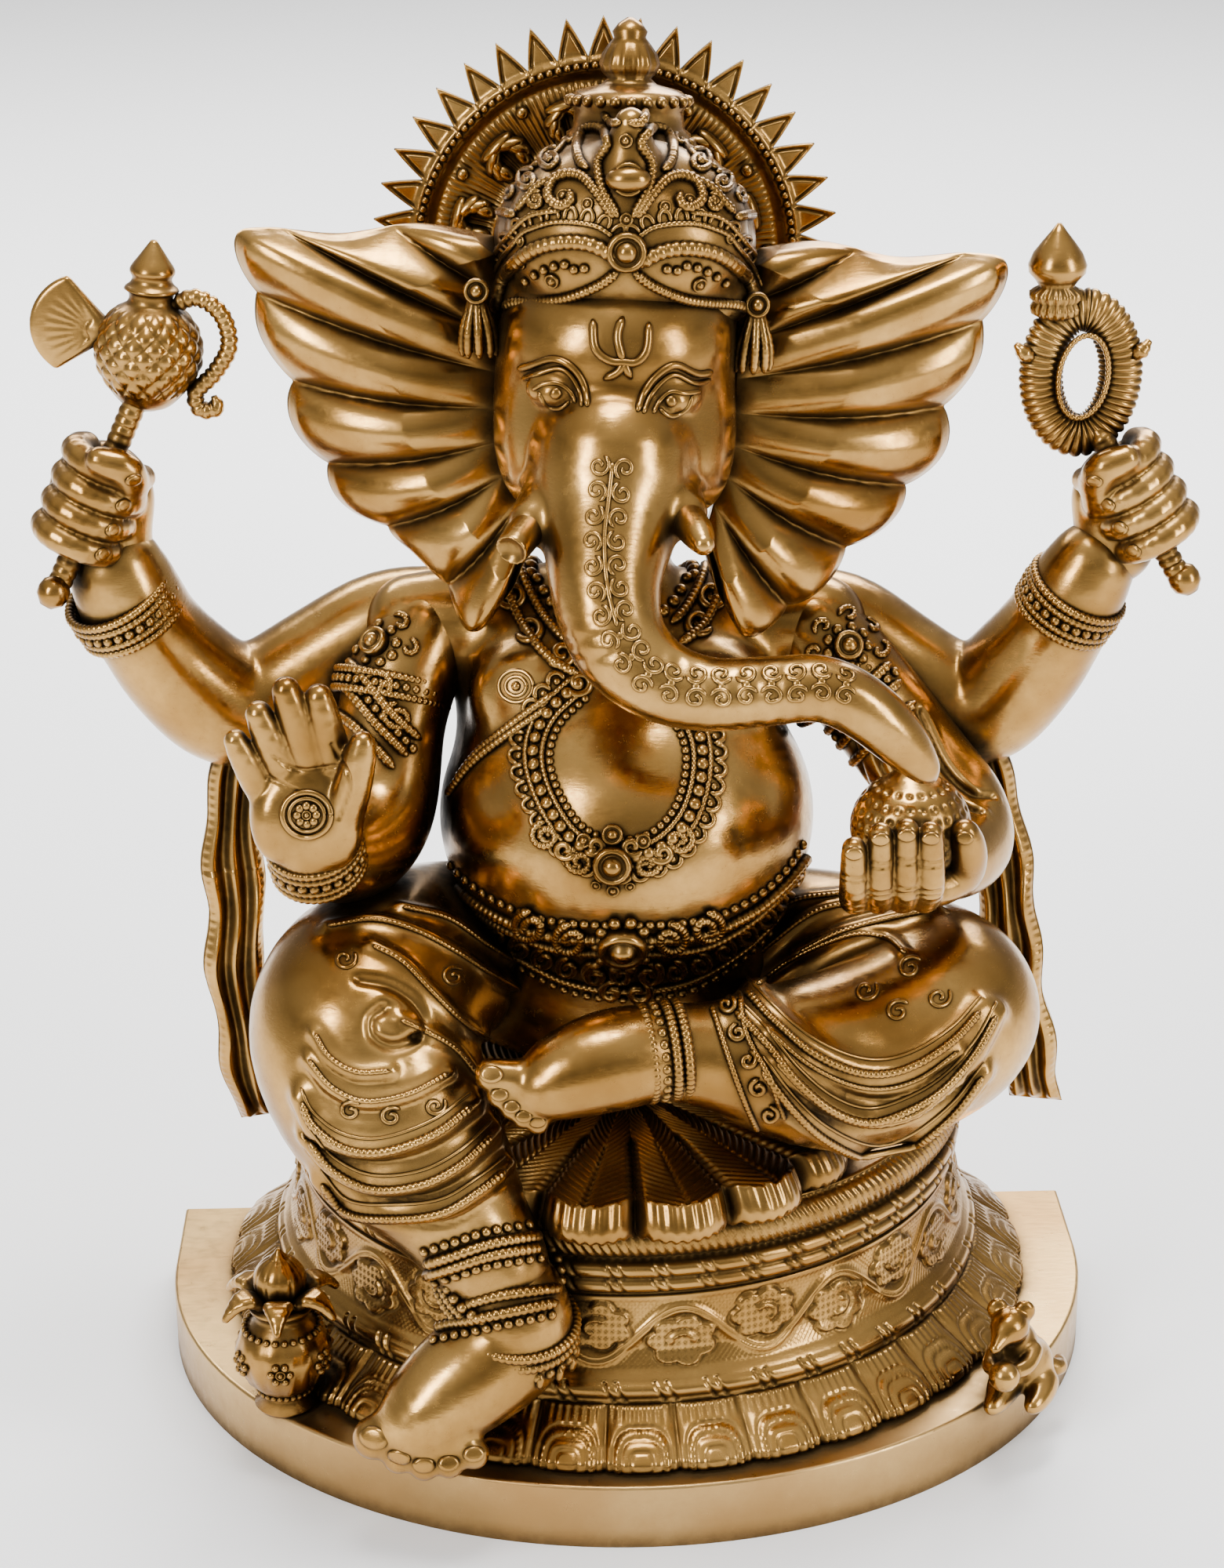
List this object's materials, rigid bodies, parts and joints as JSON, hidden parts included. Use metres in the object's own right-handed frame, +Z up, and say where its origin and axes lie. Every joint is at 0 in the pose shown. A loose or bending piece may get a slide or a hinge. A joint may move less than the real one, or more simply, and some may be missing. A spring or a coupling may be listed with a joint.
{
  "type": "ganesha idol",
  "caption": "Seated four-armed elephant-headed brass idol with halo, on a lotus pedestal and flat-backed base plate.",
  "frame": {"origin": "middle of the footprint, on the plane the base stands on", "axes": "+Z up; the idol faces -Y; +X is towards the idol's own left"},
  "size_m": [0.6135, 0.308, 0.7575],
  "materials": {
    "antique_brass": "antique polished, dark patina in the recesses",
    "plinth_brass": "brushed, lightly stained",
    "fixing_steel": "zinc plated"
  },
  "bodies": {
    "root": {"back_cloth": "antique_brass", "base_plate": "plinth_brass", "belly_garland": "antique_brass", "crown": "antique_brass", "crown_finial": "antique_brass", "crown_plaque": "antique_brass", "engraved_drum": "antique_brass", "ewer_with_axe": "antique_brass", "halo": "antique_brass", "halo_leaf_garland": "antique_brass", "halo_nut": "fixing_steel", "halo_spacer": "antique_brass", "halo_stud": "fixing_steel", "head_and_trunk": "antique_brass", "left_anklet": "antique_brass", "left_armlet": "antique_brass", "left_crown_tassel": "antique_brass", "left_ear": "antique_brass", "left_foot": "antique_brass", "left_front_arm": "antique_brass", "left_front_hand": "antique_brass", "left_leg": "antique_brass", "left_rear_arm": "antique_brass", "left_rear_hand": "antique_brass", "left_shawl_tail": "antique_brass", "left_tusk": "antique_brass", "left_wrist_bangle": "antique_brass", "lotus_petal_tier": "antique_brass", "modak": "antique_brass", "mouse": "antique_brass", "mouse_sweet_ball": "antique_brass", "neck_collar": "antique_brass", "noose": "antique_brass", "offering_pot": "antique_brass", "pedestal_bolts": "fixing_steel", "pedestal_lugs": "antique_brass", "pot_coconut": "antique_brass", "pot_leaves": "antique_brass", "right_armlet": "antique_brass", "right_crown_tassel": "antique_brass", "right_ear": "antique_brass", "right_foot": "antique_brass", "right_front_arm": "antique_brass", "right_front_hand": "antique_brass", "right_leg": "antique_brass", "right_lower_anklet": "antique_brass", "right_rear_arm": "antique_brass", "right_rear_hand": "antique_brass", "right_shawl_tail": "antique_brass", "right_sleeve_cuff": "antique_brass", "right_tusk_stub": "antique_brass", "right_upper_anklet": "antique_brass", "right_wrist_bangle": "antique_brass", "rope_moulding_seat": "antique_brass", "seat_cloth": "antique_brass", "torso": "antique_brass", "waist_belt": "antique_brass"}
  },
  "joints": []
}
